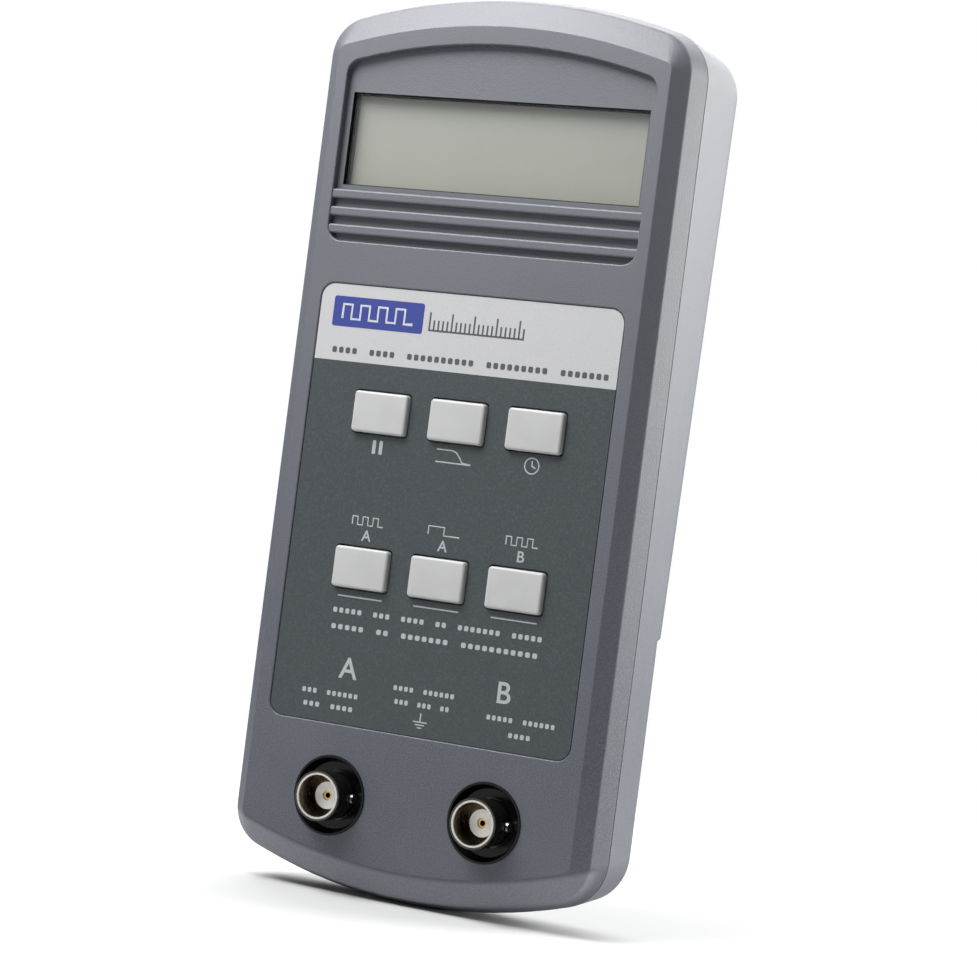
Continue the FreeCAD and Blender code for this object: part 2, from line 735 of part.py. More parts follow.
def build_all():
    """Every node's name with its solid."""
    nodes = {
        "front_case": front_case(),
        "rear_case": rear_case(),
        "battery_door": battery_door(),
        "door_pad": door_pad(),
        "display_window": display_window(),
        "lcd_glass": lcd_glass(),
        "lcd_bezel": lcd_bezel(),
        "lcd_pins": lcd_pins(),
        "front_label": front_label(),
        "switch_bodies": switch_bodies(),
        "main_pcb": main_pcb(),
        "case_screws": case_screws(),
        "board_screws": board_screws(),
        "shield_can": shield_can(),
        "crystal_can": crystal_can(),
        "counter_chip": chip(-6, 84, 14.0, 2.0, 12),
        "control_chip": chip(12, 72, 10.0, 1.6, 10),
        "prescaler_chip": chip(8, 60.5, 4.0, 1.4, 3),
        "capacitors": capacitors(),
        "power_regulator": power_regulator(),
        "socket_nuts": socket_nuts(),
        "socket_washers": socket_washers(),
        "input_links": input_links(),
        "battery": battery(),
        "terminal_board": terminal_board(),
        "terminal_studs": terminal_studs(),
    }
    for number, (x, z) in enumerate(key_places(), start=1):
        nodes["keycap_" + str(number)] = keycap(x, z)
        nodes["switch_plunger_" + str(number)] = switch_plunger(x, z)
    for letter, side in (("a", -1), ("b", 1)):
        nodes["socket_body_" + letter] = socket_body(side * SOCKET_X)
        nodes["socket_insulator_" + letter] = socket_insulator(side * SOCKET_X)
        nodes["socket_contact_" + letter] = socket_contact(side * SOCKET_X)
        nodes["socket_collar_" + letter] = socket_collar(side * SOCKET_X)
    return nodes


os.makedirs("parts", exist_ok=True)
for name, shape in build_all().items():
    shape.exportStep(os.path.join("parts", name + ".step"))
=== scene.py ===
# Hand-held frequency counter: the visible model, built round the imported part.
import json
import math

import bmesh
import bpy
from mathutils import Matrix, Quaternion, Vector

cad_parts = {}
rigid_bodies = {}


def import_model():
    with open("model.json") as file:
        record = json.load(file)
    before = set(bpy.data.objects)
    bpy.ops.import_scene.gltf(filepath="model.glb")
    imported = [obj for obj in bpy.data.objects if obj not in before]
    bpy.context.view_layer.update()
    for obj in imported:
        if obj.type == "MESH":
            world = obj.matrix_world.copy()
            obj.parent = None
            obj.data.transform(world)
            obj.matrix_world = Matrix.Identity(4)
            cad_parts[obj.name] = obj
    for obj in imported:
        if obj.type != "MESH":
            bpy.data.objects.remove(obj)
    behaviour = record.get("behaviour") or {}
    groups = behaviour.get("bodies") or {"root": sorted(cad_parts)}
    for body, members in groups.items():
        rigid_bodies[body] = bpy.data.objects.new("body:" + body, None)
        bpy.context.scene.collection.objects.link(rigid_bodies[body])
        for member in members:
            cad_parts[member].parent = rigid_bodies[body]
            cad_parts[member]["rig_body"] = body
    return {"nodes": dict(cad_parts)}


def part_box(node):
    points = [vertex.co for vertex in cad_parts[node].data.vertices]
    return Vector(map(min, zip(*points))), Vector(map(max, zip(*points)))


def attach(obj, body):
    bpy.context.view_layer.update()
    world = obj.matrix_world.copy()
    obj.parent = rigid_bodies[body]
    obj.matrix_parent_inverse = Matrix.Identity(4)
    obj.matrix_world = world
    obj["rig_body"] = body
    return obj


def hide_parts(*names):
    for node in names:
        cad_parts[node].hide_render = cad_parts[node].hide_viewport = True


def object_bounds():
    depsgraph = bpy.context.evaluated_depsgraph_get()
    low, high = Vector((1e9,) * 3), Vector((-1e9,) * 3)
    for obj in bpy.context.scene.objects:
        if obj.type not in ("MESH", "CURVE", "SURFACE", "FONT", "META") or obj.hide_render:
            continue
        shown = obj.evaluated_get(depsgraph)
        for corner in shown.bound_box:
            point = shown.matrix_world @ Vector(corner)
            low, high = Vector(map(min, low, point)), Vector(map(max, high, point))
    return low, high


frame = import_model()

bl_info = {
    "name": "Frequency Counter",
    "version": (1, 0, 0),
    "blender": (4, 5, 0),
    "location": "3D View > Sidebar > Counter",
    "description": "Builds a hand-held frequency counter with keys, display and input sockets",
    "category": "Add Mesh",
}

PART_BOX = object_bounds()
MM = 0.001
EPS = 0.000002                            # two points closer than this are level
LEVEL = 1e-7                              # the ends of an edge along the depth agree to this
FACE_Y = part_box("front_case")[0].y        # the flat of the face
LABEL_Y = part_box("front_label")[0].y      # front of the label
HEADER_FOOT = 0.1028                      # lower edge of the pale header
KEY_BOXES = [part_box("keycap_%d" % number) for number in range(1, 7)]
SOCKETS = ("a", "b")

# Lower chamfer of the case, painted lighter as a highlight: heights above its end and depths behind
# the face, in metres
LOWER_ARC_DOUBLE = 0.22                   # twice the radius of the case's lower end
CHAMFER_HEIGHT = (5.4 * MM, 6.6 * MM)     # where the lower chamfer meets the face
CHAMFER_DEPTH = (2.4 * MM, 6.0 * MM)      # where it has turned into the side

# Display, from its lower to its upper edge, and half the clear width of its window
DISPLAY_SPAN = (0.137, 0.156)
WINDOW_EDGE = 0.0324

# Input sockets
RIM_DEEP = 0.35 * MM                      # the bright rim reaches this far into the bore
BORE_RADIUS = 4.3 * MM
BARREL_SKIN = (4.45 * MM, 4.95 * MM)      # radii of the outside, painted black as a dark reflection of the collar

# Keys
KEY_FLANGE = 0.8 * MM                     # flange that keeps a key in the case
FLANGE_BACK = 3.35 * MM                   # depth of the flange's back
FLANGE_THICK = 0.7 * MM
CROWN_STEP = 0.9 * MM                     # width of each step of the crown
CROWN_SHARES = (0.5, 0.35, 0.15)
POCKET_WALL = 1.45 * MM
POCKET_DEEP = 2.9 * MM
STEM_INSET = 1.7 * MM
STEM_LONG = 0.45 * MM

# Battery
BATTERY_BAND = 14.0 * MM                  # width of the coloured band

# Rows of plain squares: left end, right end, height, size in millimetres, squares in each group
INPUT_ROWS = (
    (-21.6, 24.3, 54.6, 1.0, (5, 3, 4, 2, 7, 5)),
    (-21.6, 23.8, 51.4, 1.0, (5, 2, 7, 11)),
    (-26.2, -13.4, 38.4, 0.95, (3, 6)),
    (-25.6, -14.2, 35.8, 0.95, (3, 4)),
    (-6.2, 7.4, 41.4, 0.95, (4, 6)),
    (-5.6, 6.6, 38.8, 0.95, (3, 3, 2)),
    (14.4, 29.2, 38.7, 0.95, (5, 6)),
    (19.4, 24.4, 35.9, 0.95, (4,)),
)
HEADER_ROW = (-29.2, 31.2, 104.9, 1.15, (4, 4, 10, 9, 7))
LETTER_HEIGHT = 43.4                      # middle of the letters over the sockets
SIGN_DROP = 6.6                           # middle of a sign below its key
WAVE_RISE = 9.2                           # middle of a square wave above its key
CHANNEL_RISE = 6.3                        # middle of a channel letter above its key
LINE_DROP = 5.65                          # line below a key
EARTH_SPOT = (0.6, 35.6)                  # sideways place and height of the earth sign
EARTH_BARS = (1.5, 1.0, 0.5)              # half lengths of its bars
FILTER_SLOPE = ((-3.8, 1.1), (-0.4, 1.1), (0.5, 0.8), (1.3, -0.1), (2.0, -1.1), (3.8, -1.25))
SCALE_LEFT = -8.2                         # first tick of the graduated scale
SCALE_FOOT = 110.5
SCALE_PITCH = 0.97
SCALE_TICKS = 22
BLOCK_SPOT = (-19.75, 112.45)             # middle of the blue block

# Lamps: name, azimuth, elevation, distance, width, height in metres, watts
LAMPS = (
    ("front_box", -36, 54, 0.43, 0.30, 0.26, 4.55),
    ("fill_box", -30, 4, 0.80, 0.50, 0.40, 0.8),
    ("side_box", 128, 12, 0.60, 0.36, 0.30, 7.4),
    ("top_box", 190, 50, 0.70, 1.10, 0.90, 11.0),
)
GLOW_STRENGTH = 0.20
FLOOR_SIZE = 2.4
FLOOR_DROP = 0.0001
FLOOR_FADE = (0.17, 0.40)                 # the floor thins out between these radii

# Camera
LENS = 115.68
SENSOR = 36.0
CAMERA_TARGET = (0.00713, -0.00853, 0.08160)
CAMERA_TURN = (27.05, -0.15)              # azimuth and elevation
CAMERA_DISTANCE = 0.6005
CAMERA_ROLL = 7.25


def socket_axis(letter):
    """Middle of an input socket, seen from the front."""
    low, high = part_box("socket_collar_" + letter)
    return (low.x + high.x) / 2, (low.z + high.z) / 2


# ---------------------------------------------------------------- sizes and colours


class CounterSizes(bpy.types.PropertyGroup):
    """Sizes that a user would change."""

    key_edge: bpy.props.FloatProperty(
        name="Key edge", description="Round along the front edges of a key",
        default=0.00042, unit="LENGTH", precision=5)
    key_corner: bpy.props.FloatProperty(
        name="Key corner", description="Round at the four corners of a key",
        default=0.00075, unit="LENGTH", precision=5)
    key_crown: bpy.props.FloatProperty(
        name="Key crown", description="How far the middle of a key stands proud of its edges",
        default=0.00012, unit="LENGTH", precision=5)
    ink_thick: bpy.props.FloatProperty(
        name="Ink thickness", description="Thickness of the printing on the label",
        default=0.00003, unit="LENGTH", precision=5)
    ink_line: bpy.props.FloatProperty(
        name="Ink line", description="Width of a printed line",
        default=0.0003, unit="LENGTH", precision=5)
    letter_size: bpy.props.FloatProperty(
        name="Input letter", description="Height of the letter over an input socket",
        default=0.0058, unit="LENGTH", precision=5)
    channel_size: bpy.props.FloatProperty(
        name="Channel letter", description="Height of the letter over a measuring key",
        default=0.0030, unit="LENGTH", precision=5)


def colour_property(name, description, default):
    """Colour setting with a picker."""
    return bpy.props.FloatVectorProperty(
        name=name, description=description, default=default, subtype="COLOR", size=3, min=0, max=1)


class CounterColours(bpy.types.PropertyGroup):
    """Colours that a user would change."""

    case: colour_property("Case", "Moulded case plastic", (0.078, 0.082, 0.094))
    label: colour_property("Label", "Dark film of the label", (0.0200, 0.0268, 0.0302))
    header: colour_property("Header", "Pale band at the top of the label", (0.335, 0.335, 0.34))
    key: colour_property("Keys", "Moulded key plastic", (0.325, 0.325, 0.325))
    display: colour_property("Display", "Unlit liquid crystal", (0.180, 0.185, 0.144))
    pale_ink: colour_property("Pale ink", "Printing on the dark film", (0.27, 0.285, 0.295))
    dark_ink: colour_property("Dark ink", "Printing on the header", (0.045, 0.047, 0.053))
    blue_ink: colour_property("Blue ink", "Block printed on the header", (0.012, 0.024, 0.17))


def sizes():
    """The sizes in the scene."""
    return bpy.context.scene.counter_sizes


def colour(name):
    """One of the scene's colours, as a four-number colour."""
    return (*getattr(bpy.context.scene.counter_colours, name), 1.0)


# ---------------------------------------------------------------- shader recipes


class Value:
    """A socket that adds Math nodes when it is used in plain arithmetic."""

    def __init__(self, recipe, socket):
        self.recipe = recipe
        self.socket = socket

    def math(self, operation, first, second=0.0):
        """Result of a Math node."""
        return self.recipe.node("ShaderNodeMath", {"operation": operation}, {0: first, 1: second})

    def __add__(self, other):
        return self.math("ADD", self, other)

    def __radd__(self, other):
        return self.math("ADD", other, self)

    def __sub__(self, other):
        return self.math("SUBTRACT", self, other)

    def __rsub__(self, other):
        return self.math("SUBTRACT", other, self)

    def __mul__(self, other):
        return self.math("MULTIPLY", self, other)

    def __rmul__(self, other):
        return self.math("MULTIPLY", other, self)

    def __truediv__(self, other):
        return self.math("DIVIDE", self, other)

    def __gt__(self, other):
        return self.math("GREATER_THAN", self, other)

    def __lt__(self, other):
        return self.math("LESS_THAN", self, other)

    def __abs__(self):
        return self.math("ABSOLUTE", self)

    def sine(self):
        """Sine of an angle in radians."""
        return self.math("SINE", self)

    def within(self, low, high):
        """1 between two values and 0 elsewhere."""
        return (self > low) * (self < high)

    def ease(self, low, high):
        """Smooth rise from 0 at one value to 1 at another."""
        return self.recipe.node(
            "ShaderNodeMapRange", {"interpolation_type": "SMOOTHSTEP"},
            {"Value": self, "From Min": low, "From Max": high})


class Recipe:
    """Node tree of one finish."""

    def __init__(self, name):
        self.material = bpy.data.materials.new(name)
        self.material.use_nodes = True
        self.tree = self.material.node_tree
        self.skin = self.tree.nodes["Principled BSDF"]
        self.spot = self.node("ShaderNodeTexCoord", {}, {}, "Object")

    def node(self, kind, settings, inputs, output=0):
        """Add a node: its settings first, then the values or links of its sockets."""
        made = self.tree.nodes.new(kind)
        for key, value in settings.items():
            setattr(made, key, value)
        for key, value in inputs.items():
            if isinstance(value, Value):
                self.tree.links.new(value.socket, made.inputs[key])
            else:
                made.inputs[key].default_value = value
        return Value(self, made.outputs[output])

    def axes(self):
        """The three object coordinates in metres."""
        parts = self.node("ShaderNodeSeparateXYZ", {}, {0: self.spot}).socket.node
        return [Value(self, socket) for socket in parts.outputs]

    def noise(self, scale, detail=2.0, roughness=0.5, stretch=None):
        """Soft noise from 0 to 1 with a number of grains to the metre."""
        spot = self.spot
        if stretch:
            spot = self.node("ShaderNodeMapping", {}, {"Vector": spot, "Scale": stretch})
        return self.node(
            "ShaderNodeTexNoise", {},
            {"Vector": spot, "Scale": scale, "Detail": detail, "Roughness": roughness})

    def cells(self, scale):
        """Distance to scattered points, with a number of cells to the metre."""
        return self.node(
            "ShaderNodeTexVoronoi", {}, {"Vector": self.spot, "Scale": scale}, "Distance")

    def mix(self, share, first, second):
        """Blend of two colours."""
        return self.node(
            "ShaderNodeMix", {"data_type": "RGBA"}, {0: share, 6: first, 7: second}, 2)

    def bump(self, height, distance, strength=1.0, under=None):
        """Surface relief from a height between 0 and 1."""
        links = {"Height": height, "Distance": distance, "Strength": strength}
        if under is not None:
            links["Normal"] = under
        return self.node("ShaderNodeBump", {}, links)

    def finish(self, base, roughness, normal=None, metallic=0.0, **fixed):
        """Fill the surface shader and give back the material."""
        wanted = {"Base Color": base, "Roughness": roughness, "Metallic": metallic}
        if normal is not None:
            wanted["Normal"] = normal
        wanted.update({key.replace("_", " "): value for key, value in fixed.items()})
        for key, value in wanted.items():
            if isinstance(value, Value):
                self.tree.links.new(value.socket, self.skin.inputs[key])
            else:
                self.skin.inputs[key].default_value = value
        return self.material


def shade(base, factor):
    """A colour made lighter or darker."""
    return (*[min(1.0, part * factor) for part in base[:3]], 1.0)


def moulded_case():
    """Spark-textured grey plastic, with painted shade that darkens it towards its foot and a
    painted highlight that pales the bevel round its lower end.
    """
    recipe = Recipe("case_plastic")
    base = colour("case")
    grain = recipe.noise(3200.0, 2.5, 0.6)
    fine = recipe.noise(6400.0, 1.0)
    patch = recipe.noise(38.0, 3.0, 0.55)
    # Painted shade: the case colour darkens from its top towards its foot.
    foot_painted_shade = [part * fade for part, fade in zip(base, (0.52, 0.56, 0.65))]
    x, y, z = recipe.axes()
    above_end = z - x * x / LOWER_ARC_DOUBLE
    height_painted_shade = recipe.mix(z.ease(8.0 * MM, 165.0 * MM), (*foot_painted_shade, 1.0), shade(base, 1.02))
    # Painted highlight: the bevel round the lower end is lightened to 2.2 times the case colour.
    chamfer_highlight = 1.0 - above_end.ease(*CHAMFER_HEIGHT)
    chamfer_highlight = chamfer_highlight * (1.0 - (y - FACE_Y).ease(*CHAMFER_DEPTH))
    tone = recipe.mix(chamfer_highlight, height_painted_shade, shade(base, 2.2))
    tone = recipe.mix(0.12 * patch.ease(0.35, 0.65), tone, shade(base, 1.5))
    tone = recipe.mix(grain.ease(0.38, 0.66) * 0.5, tone, shade(base, 1.25))
    roughness = 0.40 + 0.15 * fine + 0.05 * patch
    relief = recipe.bump(grain, 0.00007, 0.5)
    relief = recipe.bump(fine, 0.00004, 0.4, relief)
    return recipe.finish(tone, roughness, relief, Specular_IOR_Level=0.5)


def label_film():
    """Dark printed film with a pale header, finely textured."""
    recipe = Recipe("label_film")
    speck = recipe.noise(3400.0, 1.5, 0.6)
    flecks = recipe.cells(2100.0)
    cloud = recipe.noise(45.0, 2.0)
    header = recipe.axes()[2] > HEADER_FOOT
    dark = colour("label")
    pale = colour("header")
    film = recipe.mix(speck.ease(0.36, 0.70), shade(dark, 0.78), shade(dark, 1.30))
    film = recipe.mix(0.35 * flecks.ease(0.55, 0.85), film, shade(dark, 2.0))
    film = recipe.mix(0.3 * cloud, film, shade(dark, 1.15))
    band = recipe.mix(speck.ease(0.3, 0.7), shade(pale, 0.97), shade(pale, 1.03))
    roughness = 0.46 + 0.12 * speck
    relief = recipe.bump(speck, 0.00005, 0.35)
    return recipe.finish(recipe.mix(header, film, band), roughness, relief)


def key_plastic():
    """Pale moulded plastic of the keys, with painted shade that darkens their sides."""
    recipe = Recipe("key_plastic")
    base = colour("key")
    grain = recipe.noise(3000.0, 2.0)
    cloud = recipe.noise(170.0, 2.0)
    tone = recipe.mix(cloud.ease(0.35, 0.65), shade(base, 0.975), shade(base, 1.02))
    y = recipe.axes()[1]
    # Painted shade: a key is darkened where it sinks behind the face of the case.
    flank_painted_shade = 1.0 - (y - FACE_Y).ease(0.0, 1.2 * MM)
    tone = recipe.mix(flank_painted_shade, shade(base, 0.72), tone)
    roughness = 0.38 + 0.14 * grain
    return recipe.finish(tone, roughness, recipe.bump(grain, 0.00003, 0.3))


def ink(name, base):
    """Screen-printed ink with a slightly uneven coat."""
    recipe = Recipe(name)
    coat = recipe.noise(2500.0, 2.0)
    tone = recipe.mix(coat.ease(0.3, 0.7), shade(base, 0.92), shade(base, 1.05))
    return recipe.finish(tone, 0.42 + 0.15 * coat, recipe.bump(coat, 0.00001, 0.3))


def liquid_crystal():
    """Grey-green reflective display with faint columns and a soft inner shade."""
    recipe = Recipe("liquid_crystal")
    base = colour("display")
    x, _, z = recipe.axes()
    columns = (x * 2473.0).sine() * 0.5 + 0.5
    rows = ((z - DISPLAY_SPAN[0]) * 52.0).sine() * 0.5 + 0.5
    fall = z.ease(*DISPLAY_SPAN)
    grain = recipe.noise(4200.0, 1.0)
    tone = recipe.mix(fall, shade(base, 0.97), (0.180, 0.185, 0.163, 1))
    tone = recipe.mix(0.10 * columns + 0.08 * rows, tone, shade(base, 0.86))
    tone = recipe.mix(0.12 * grain, tone, shade(base, 1.15))
    roughness = 0.30 + 0.08 * grain
    return recipe.finish(tone, roughness, Specular_IOR_Level=0.35)


def clear_window():
    """Thin clear plastic with a faint bluish edge."""
    recipe = Recipe("clear_window")
    x = recipe.axes()[0]
    smear = recipe.noise(60.0, 3.0)
    veil = 0.05 + 0.03 * smear + 0.45 * (abs(x) > WINDOW_EDGE)
    tone = recipe.mix(smear, (0.55, 0.57, 0.58, 1), (0.66, 0.67, 0.67, 1))
    made = recipe.finish(tone, 0.06 + 0.08 * smear, Alpha=veil)
    made.surface_render_method = "BLENDED"
    return made


def black_plastic(name, gloss, tone=(0.010, 0.010, 0.010, 1), shine=0.5):
    """Black moulded plastic, matt or glossy, with a fine grain and a little dust."""
    recipe = Recipe(name)
    grain = recipe.noise(1900.0, 2.0)
    dust = recipe.noise(260.0, 4.0, 0.6)
    base = recipe.mix(dust.ease(0.5, 0.8), tone, shade(tone, 2.2))
    roughness = (1.0 - gloss) * 0.6 + 0.10 * dust + 0.05 * grain
    relief = recipe.bump(grain, 0.00003, 0.25 * (1.2 - gloss))
    return recipe.finish(base, roughness, relief, Specular_IOR_Level=shine)


def bright_metal(name, tone, roughness, scratch=0.5):
    """Plated or plain metal with fine turning marks and a little tarnish."""
    recipe = Recipe(name)
    marks = recipe.noise(900.0, 3.0, 0.6, (1.0, 7.0, 1.0))
    dull = recipe.noise(300.0, 3.0)
    base = recipe.mix(dull.ease(0.45, 0.75), (*tone, 1), shade(tone, 0.72))
    worn = roughness + 0.10 * marks + 0.12 * dull.ease(0.5, 0.8)
    return recipe.finish(base, worn, recipe.bump(marks, 0.00002, scratch), 1.0)


def nickel_barrel():
    """Nickel barrel with a bright rim, painted brown shade and reflection down its bore, and
    painted black on its outer skin as a dark reflection of the collar.
    """
    recipe = Recipe("nickel_barrel")
    x, y, z = recipe.axes()
    middle_x, middle_z = socket_axis("b")
    side, rise = abs(x) - middle_x, z - middle_z
    radius = recipe.node(
        "ShaderNodeMath", {"operation": "SQRT"}, {0: side * side + rise * rise})
    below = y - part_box("socket_body_a")[0].y
    marks = recipe.noise(700.0, 3.0, 0.6, (1.0, 9.0, 1.0))
    dull = recipe.noise(420.0, 3.0)
    # Painted shade and reflection: the bore below the rim gets a dark brown colour.
    bore = (below > RIM_DEEP) * (radius < BORE_RADIUS)
    # Painted reflection: the outer skin of the barrel is coloured black and non-metal, as the black
    # collar it reflects.
    outer_painted_reflection = radius.within(*BARREL_SKIN)
    wall = recipe.mix(dull, (0.10, 0.075, 0.045, 1), (0.26, 0.215, 0.15, 1))
    bright = recipe.mix(dull.ease(0.45, 0.8), (0.44, 0.43, 0.39, 1), (0.32, 0.30, 0.25, 1))
    tone = recipe.mix(bore, bright, wall)
    tone = recipe.mix(outer_painted_reflection, tone, (0.006, 0.006, 0.0055, 1))
    roughness = 0.16 + 0.12 * marks + 0.10 * dull
    relief = recipe.bump(marks, 0.00002, 0.5)
    return recipe.finish(tone, roughness, relief, 1.0 - outer_painted_reflection)


def white_insulator():
    """Waxy white plastic, a little yellowed in patches."""
    recipe = Recipe("white_insulator")
    cloud = recipe.noise(600.0, 2.0)
    base = recipe.mix(cloud, (0.88, 0.87, 0.83, 1), (0.94, 0.93, 0.90, 1))
    return recipe.finish(base, 0.34 + 0.15 * cloud, recipe.bump(cloud, 0.00003, 0.3))


def circuit_board():
    """Green lacquered board with paler tracks."""
    recipe = Recipe("circuit_board")
    tracks = recipe.node(
        "ShaderNodeTexBrick", {"offset": 0.5},
        {"Vector": recipe.spot, "Scale": 240.0, "Mortar Size": 0.03}, "Fac")
    grain = recipe.noise(1200.0, 2.0)
    base = recipe.mix(tracks, (0.010, 0.085, 0.030, 1), (0.030, 0.15, 0.055, 1))
    base = recipe.mix(grain * 0.3, base, (0.008, 0.05, 0.02, 1))
    return recipe.finish(base, 0.28 + 0.2 * grain, recipe.bump(tracks, 0.00004, 0.4))


def battery_jacket():
    """Wrapped steel jacket: black with a copper-coloured band at the terminal end."""
    recipe = Recipe("battery_jacket")
    x = recipe.axes()[0]
    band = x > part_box("battery")[1].x - BATTERY_BAND
    scuff = recipe.noise(420.0, 4.0, 0.6)
    base = recipe.mix(band, (0.012, 0.012, 0.013, 1), (0.45, 0.20, 0.075, 1))
    base = recipe.mix(0.25 * scuff.ease(0.55, 0.8), base, (0.35, 0.33, 0.30, 1))
    return recipe.finish(base, 0.25 + 0.25 * scuff, recipe.bump(scuff, 0.00004, 0.3))


def soft_foam():
    """Grey open-cell foam."""
    recipe = Recipe("soft_foam")
    cells = recipe.cells(1500.0)
    base = recipe.mix(cells.ease(0.1, 0.7), (0.018, 0.018, 0.019, 1), (0.075, 0.075, 0.08, 1))
    return recipe.finish(base, 0.9, recipe.bump(cells, 0.0004, 0.7))


def pale_sheet():
    """Matt light grey studio sheet that thins out to nothing at its edge."""
    recipe = Recipe("studio_sheet")
    reach = recipe.node("ShaderNodeVectorMath", {"operation": "LENGTH"}, {0: recipe.spot}, "Value")
    cloud = recipe.noise(3.0, 2.0)
    base = recipe.mix(cloud, (0.44, 0.44, 0.44, 1), (0.46, 0.46, 0.46, 1))
    cover = 1.0 - reach.ease(*FLOOR_FADE)
    return recipe.finish(base, 0.85, None, 0.0, Alpha=cover)


# ---------------------------------------------------------------- modelling


def deselect():
    """Leave edit mode with nothing selected."""
    if bpy.context.object and bpy.context.object.mode != "OBJECT":
        bpy.ops.object.mode_set(mode="OBJECT")
    bpy.ops.object.select_all(action="DESELECT")


def hold(piece):
    """Make one piece the only one selected."""
    deselect()
    piece.select_set(True)
    bpy.context.view_layer.objects.active = piece
    return piece


def settle(piece, name):
    """Name a new piece and leave its object at the origin, unturned and unscaled."""
    hold(piece)
    piece.name = name
    piece.data.name = name
    bpy.ops.object.transform_apply(location=True, rotation=True, scale=True)
    return piece


def new_box(name, low, high):
    """Box between two corners, open in edit mode."""
    deselect()
    bpy.ops.mesh.primitive_cube_add(size=1, location=(low + high) / 2)
    piece = bpy.context.object
    piece.scale = high - low
    settle(piece, name)
    bpy.ops.object.mode_set(mode="EDIT")
    return piece


def select_faces(piece, test):
    """Select the faces whose middle and normal pass a test."""
    bpy.ops.mesh.select_mode(type="FACE")
    bpy.ops.mesh.select_all(action="DESELECT")
    mesh = bmesh.from_edit_mesh(piece.data)
    for face in mesh.faces:
        if test(face.calc_center_median(), face.normal):
            face.select_set(True)
    bmesh.update_edit_mesh(piece.data)


def select_edges(piece, test):
    """Select the edges whose two ends pass a test."""
    bpy.ops.mesh.select_mode(type="EDGE")
    bpy.ops.mesh.select_all(action="DESELECT")
    mesh = bmesh.from_edit_mesh(piece.data)
    for edge in mesh.edges:
        if test(edge.verts[0].co, edge.verts[1].co):
            edge.select_set(True)
    bmesh.update_edit_mesh(piece.data)


def extrude(x, y, z):
    """Extrude the selection along a vector."""
    bpy.ops.mesh.extrude_region_move(TRANSFORM_OT_translate={"value": (x, y, z)})


def smooth(piece, degrees):
    """Smooth shading except across sharper edges than an angle."""
    hold(piece)
    bpy.ops.object.shade_smooth_by_angle(angle=math.radians(degrees))


def paint(piece, material):
    """Give a piece one finish."""
    piece.data.materials.clear()
    piece.data.materials.append(material)


def mount(piece, body, slot, *nodes):
    """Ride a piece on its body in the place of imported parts."""
    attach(piece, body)
    if nodes:
        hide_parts(*nodes)
    return piece


def carry(node, name, material, slot, degrees=32.0):
    """Smooth-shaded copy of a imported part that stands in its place."""
    source = frame["nodes"][node]
    piece = bpy.data.objects.new(name, source.data.copy())
    bpy.context.scene.collection.objects.link(piece)
    piece.data.name = name
    hold(piece)
    bpy.ops.mesh.customdata_custom_splitnormals_clear()
    bpy.ops.object.mode_set(mode="EDIT")
    bpy.ops.mesh.select_all(action="SELECT")
    bpy.ops.mesh.remove_doubles(threshold=0.000001)
    bpy.ops.object.mode_set(mode="OBJECT")
    smooth(piece, degrees)
    even = piece.modifiers.new("even", "WEIGHTED_NORMAL")
    even.keep_sharp = True
    bpy.ops.object.modifier_apply(modifier=even.name)
    paint(piece, material)
    return mount(piece, source["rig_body"], slot, node)


def dress(material, *nodes):
    """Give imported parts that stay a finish."""
    for node in nodes:
        paint(frame["nodes"][node], material)


def join(pieces, name):
    """Join several pieces into one."""
    deselect()
    for piece in pieces:
        piece.select_set(True)
    bpy.context.view_layer.objects.active = pieces[0]
    if len(pieces) > 1:
        bpy.ops.object.join()
    return settle(bpy.context.object, name)


def copy_to(piece, name, shift):
    """Copy of a piece with its own mesh, moved by a vector."""
    twin = piece.copy()
    twin.data = piece.data.copy()
    bpy.context.scene.collection.objects.link(twin)
    twin.location = shift
    return settle(twin, name)


def ink_bar(x, z, wide, tall, corner=0.25):
    """Printed bar with rounded corners, centred on a point of the label."""
    half = Vector((wide * MM / 2, 0, tall * MM / 2))
    middle = Vector((x * MM, LABEL_Y, z * MM))
    thick = Vector((0, sizes().ink_thick, 0))
    piece = new_box("bar", middle - half - thick, middle + half + thick * 0.5)
    select_edges(piece, lambda a, b: abs(a.x - b.x) < LEVEL and abs(a.z - b.z) < LEVEL)
    bpy.ops.mesh.bevel(offset=min(wide, tall) * corner * MM, segments=3, affect="EDGES")
    bpy.ops.object.mode_set(mode="OBJECT")
    return piece


def ink_path(points, width=None, closed=False):
    """Printed line through points of the label, given as sideways place and height."""
    width = width or sizes().ink_line
    curve = bpy.data.curves.new("line", "CURVE")
    curve.dimensions = "3D"
    curve.bevel_depth = width / 2
    curve.bevel_resolution = 1
    curve.use_fill_caps = True
    spline = curve.splines.new("POLY")
    spline.points.add(len(points) - 1)
    for point, (x, z) in zip(spline.points, points):
        point.co = (x * MM, 0, z * MM, 1)
    spline.use_cyclic_u = closed
    piece = bpy.data.objects.new("line", curve)
    bpy.context.scene.collection.objects.link(piece)
    hold(piece)
    bpy.ops.object.convert(target="MESH")
    piece = bpy.context.object
    piece.scale = (1, 2 * sizes().ink_thick / width, 1)
    piece.location = (0, LABEL_Y, 0)
    return settle(piece, "line")


def ink_ring(x, z, radius):
    """Printed ring."""
    turns = 28
    spots = [math.tau * count / turns for count in range(turns)]
    return ink_path(
        [(x + radius * math.cos(spot), z + radius * math.sin(spot)) for spot in spots], closed=True)


